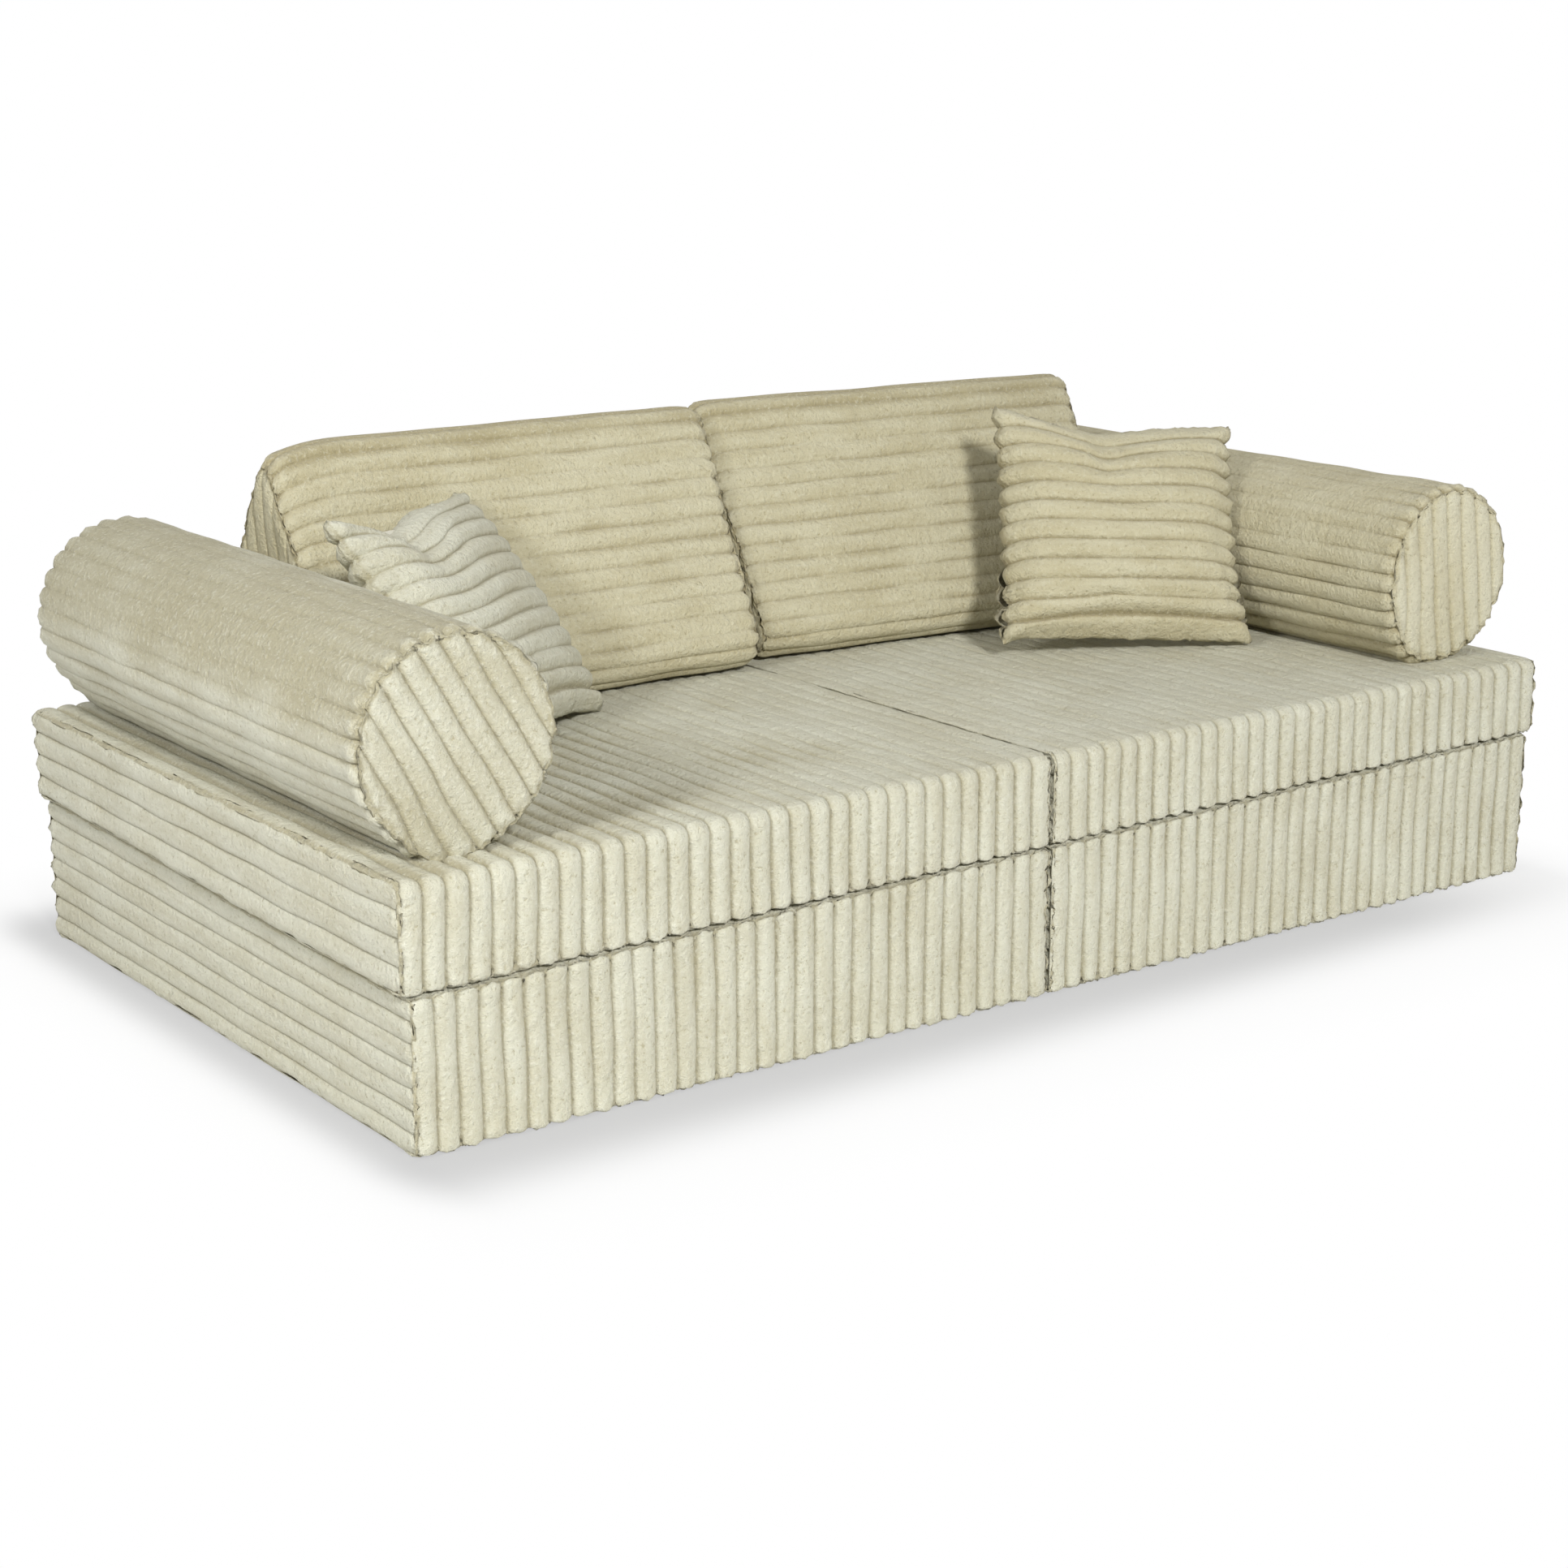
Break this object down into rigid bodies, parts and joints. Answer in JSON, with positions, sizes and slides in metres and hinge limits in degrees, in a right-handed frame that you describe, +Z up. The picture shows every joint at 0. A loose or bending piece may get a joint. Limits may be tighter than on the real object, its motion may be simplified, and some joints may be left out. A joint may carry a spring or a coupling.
{
  "type": "modular foam play sofa",
  "caption": "Low modular foam play sofa of loose blocks, wedge backs, round bolsters and throw pillows in wide-wale plush covers.",
  "frame": {"origin": "on the floor under the middle of the set", "axes": "+X to the right seen from the front, +Y to the back, +Z up"},
  "size_m": [1.6422, 0.866, 0.5866],
  "materials": {
    "plush": "cream wide-wale plush corduroy with soft half-round ribs",
    "filling": "open-cell foam block or stuffed inner pad",
    "zip_tape": "woven zip tape with a closed coil chain",
    "zip_metal": "plated zinc zip slider and pull"
  },
  "bodies": {
    "base_left": {"base_left_cover": "plush", "base_left_foam": "filling", "base_left_zip_tape": "zip_tape"},
    "base_left_zip_slider": {"base_left_zip_slider": "zip_metal"},
    "base_left_zip_pull": {"base_left_zip_pull": "zip_metal"},
    "seat_left": {"seat_left_cover": "plush", "seat_left_foam": "filling", "seat_left_zip_tape": "zip_tape"},
    "seat_left_zip_slider": {"seat_left_zip_slider": "zip_metal"},
    "seat_left_zip_pull": {"seat_left_zip_pull": "zip_metal"},
    "backrest_left": {"backrest_left_cover": "plush", "backrest_left_foam": "filling", "backrest_left_zip_tape": "zip_tape"},
    "backrest_left_zip_slider": {"backrest_left_zip_slider": "zip_metal"},
    "backrest_left_zip_pull": {"backrest_left_zip_pull": "zip_metal"},
    "bolster_left": {"bolster_left_cover": "plush", "bolster_left_foam": "filling", "bolster_left_zip_tape": "zip_tape"},
    "bolster_left_zip_slider": {"bolster_left_zip_slider": "zip_metal"},
    "bolster_left_zip_pull": {"bolster_left_zip_pull": "zip_metal"},
    "pillow_left": {"pillow_left_cover": "plush", "pillow_left_fill": "filling", "pillow_left_zip_tape": "zip_tape"},
    "pillow_left_zip_slider": {"pillow_left_zip_slider": "zip_metal"},
    "pillow_left_zip_pull": {"pillow_left_zip_pull": "zip_metal"},
    "base_right": {"base_right_cover": "plush", "base_right_foam": "filling", "base_right_zip_tape": "zip_tape"},
    "base_right_zip_slider": {"base_right_zip_slider": "zip_metal"},
    "base_right_zip_pull": {"base_right_zip_pull": "zip_metal"},
    "seat_right": {"seat_right_cover": "plush", "seat_right_foam": "filling", "seat_right_zip_tape": "zip_tape"},
    "seat_right_zip_slider": {"seat_right_zip_slider": "zip_metal"},
    "seat_right_zip_pull": {"seat_right_zip_pull": "zip_metal"},
    "backrest_right": {"backrest_right_cover": "plush", "backrest_right_foam": "filling", "backrest_right_zip_tape": "zip_tape"},
    "backrest_right_zip_slider": {"backrest_right_zip_slider": "zip_metal"},
    "backrest_right_zip_pull": {"backrest_right_zip_pull": "zip_metal"},
    "bolster_right": {"bolster_right_cover": "plush", "bolster_right_foam": "filling", "bolster_right_zip_tape": "zip_tape"},
    "bolster_right_zip_slider": {"bolster_right_zip_slider": "zip_metal"},
    "bolster_right_zip_pull": {"bolster_right_zip_pull": "zip_metal"},
    "pillow_right": {"pillow_right_cover": "plush", "pillow_right_fill": "filling", "pillow_right_zip_tape": "zip_tape"},
    "pillow_right_zip_slider": {"pillow_right_zip_slider": "zip_metal"},
    "pillow_right_zip_pull": {"pillow_right_zip_pull": "zip_metal"}
  },
  "joints": [
    {"name": "base_right_slide", "type": "slide", "parent": "base_left", "child": "base_right", "axis": [1, 0, 0], "range_m": [0, 0.5]},
    {"name": "seat_left_lift", "type": "slide", "parent": "base_left", "child": "seat_left", "axis": [0, 0, 1], "range_m": [0, 0.3]},
    {"name": "backrest_left_lift", "type": "slide", "parent": "seat_left", "child": "backrest_left", "axis": [0, 0.7071, 0.7071], "range_m": [0, 0.4]},
    {"name": "bolster_left_lift", "type": "slide", "parent": "seat_left", "child": "bolster_left", "axis": [-0.7071, 0, 0.7071], "range_m": [0, 0.35]},
    {"name": "pillow_left_lift", "type": "slide", "parent": "seat_left", "child": "pillow_left", "axis": [0.4226, -0.5669, 0.7071], "range_m": [0, 0.35]},
    {"name": "seat_right_lift", "type": "slide", "parent": "base_right", "child": "seat_right", "axis": [0, 0, 1], "range_m": [0, 0.3]},
    {"name": "backrest_right_lift", "type": "slide", "parent": "seat_right", "child": "backrest_right", "axis": [0, 0.7071, 0.7071], "range_m": [0, 0.4]},
    {"name": "bolster_right_lift", "type": "slide", "parent": "seat_right", "child": "bolster_right", "axis": [0.7071, 0, 0.7071], "range_m": [0, 0.35]},
    {"name": "pillow_right_lift", "type": "slide", "parent": "seat_right", "child": "pillow_right", "axis": [-0.2546, -0.6597, 0.7071], "range_m": [0, 0.35]},
    {"name": "base_left_zip_slide", "type": "slide", "parent": "base_left", "child": "base_left_zip_slider", "axis": [1, 0, 0], "range_m": [0, 0.565]},
    {"name": "base_left_pull_swing", "type": "hinge", "parent": "base_left_zip_slider", "child": "base_left_zip_pull", "pos_m": [-0.6913, 0.4269, 0.03], "axis": [0, 0, 1], "range_deg": [0, 130]},
    {"name": "seat_left_zip_slide", "type": "slide", "parent": "seat_left", "child": "seat_left_zip_slider", "axis": [1, 0, 0], "range_m": [0, 0.565]},
    {"name": "seat_left_pull_swing", "type": "hinge", "parent": "seat_left_zip_slider", "child": "seat_left_zip_pull", "pos_m": [-0.6963, 0.4269, 0.2003], "axis": [0, 0, 1], "range_deg": [0, 130]},
    {"name": "backrest_left_zip_slide", "type": "slide", "parent": "backrest_left", "child": "backrest_left_zip_slider", "axis": [1, 0, 0], "range_m": [0, 0.365]},
    {"name": "backrest_left_pull_swing", "type": "hinge", "parent": "backrest_left_zip_slider", "child": "backrest_left_zip_pull", "pos_m": [-0.4874, 0.39024, 0.31979], "axis": [0, -0.4605, 0.8876], "range_deg": [0, 130]},
    {"name": "bolster_left_zip_slide", "type": "slide", "parent": "bolster_left", "child": "bolster_left_zip_slider", "axis": [0.0175, 0.9998, 0], "range_m": [0, 0.525]},
    {"name": "bolster_left_pull_swing", "type": "hinge", "parent": "bolster_left_zip_slider", "child": "bolster_left_zip_pull", "pos_m": [-0.61819, -0.25809, 0.3332], "axis": [-0.4999, 0.0087, -0.866], "range_deg": [-90, 40]},
    {"name": "pillow_left_zip_slide", "type": "slide", "parent": "pillow_left", "child": "pillow_left_zip_slider", "axis": [0.825, 0.5624, -0.0556], "range_m": [0, 0.135]},
    {"name": "pillow_left_pull_swing", "type": "hinge", "parent": "pillow_left_zip_slider", "child": "pillow_left_zip_pull", "pos_m": [-0.50577, -0.06524, 0.32105], "axis": [-0.3045, 0.5253, 0.7946], "range_deg": [-90, 40]},
    {"name": "base_right_zip_slide", "type": "slide", "parent": "base_right", "child": "base_right_zip_slider", "axis": [1, 0, 0], "range_m": [0, 0.565]},
    {"name": "base_right_pull_swing", "type": "hinge", "parent": "base_right_zip_slider", "child": "base_right_zip_pull", "pos_m": [0.1083, 0.4269, 0.03], "axis": [0, 0, 1], "range_deg": [0, 130]},
    {"name": "seat_right_zip_slide", "type": "slide", "parent": "seat_right", "child": "seat_right_zip_slider", "axis": [1, 0, 0], "range_m": [0, 0.565]},
    {"name": "seat_right_pull_swing", "type": "hinge", "parent": "seat_right_zip_slider", "child": "seat_right_zip_pull", "pos_m": [0.1133, 0.4269, 0.2003], "axis": [0, 0, 1], "range_deg": [0, 130]},
    {"name": "backrest_right_zip_slide", "type": "slide", "parent": "backrest_right", "child": "backrest_right_zip_slider", "axis": [0.9976, -0.0698, 0], "range_m": [0, 0.365]},
    {"name": "backrest_right_pull_swing", "type": "hinge", "parent": "backrest_right_zip_slider", "child": "backrest_right_zip_pull", "pos_m": [0.1201, 0.41123, 0.31979], "axis": [-0.0321, -0.4594, 0.8876], "range_deg": [0, 130]},
    {"name": "bolster_right_zip_slide", "type": "slide", "parent": "bolster_right", "child": "bolster_right_zip_slider", "axis": [0, 1, 0], "range_m": [0, 0.525]},
    {"name": "bolster_right_pull_swing", "type": "hinge", "parent": "bolster_right_zip_slider", "child": "bolster_right_zip_pull", "pos_m": [0.77456, -0.2405, 0.30254], "axis": [-0.788, 0, -0.6157], "range_deg": [-90, 40]},
    {"name": "pillow_right_zip_slide", "type": "slide", "parent": "pillow_right", "child": "pillow_right_zip_slider", "axis": [0.9106, -0.4033, -0.0907], "range_m": [0, 0.135]},
    {"name": "pillow_right_pull_swing", "type": "hinge", "parent": "pillow_right_zip_slider", "child": "pillow_right_zip_pull", "pos_m": [0.36414, -0.03388, 0.33425], "axis": [0.2646, 0.4001, 0.8775], "range_deg": [-90, 40]}
  ]
}
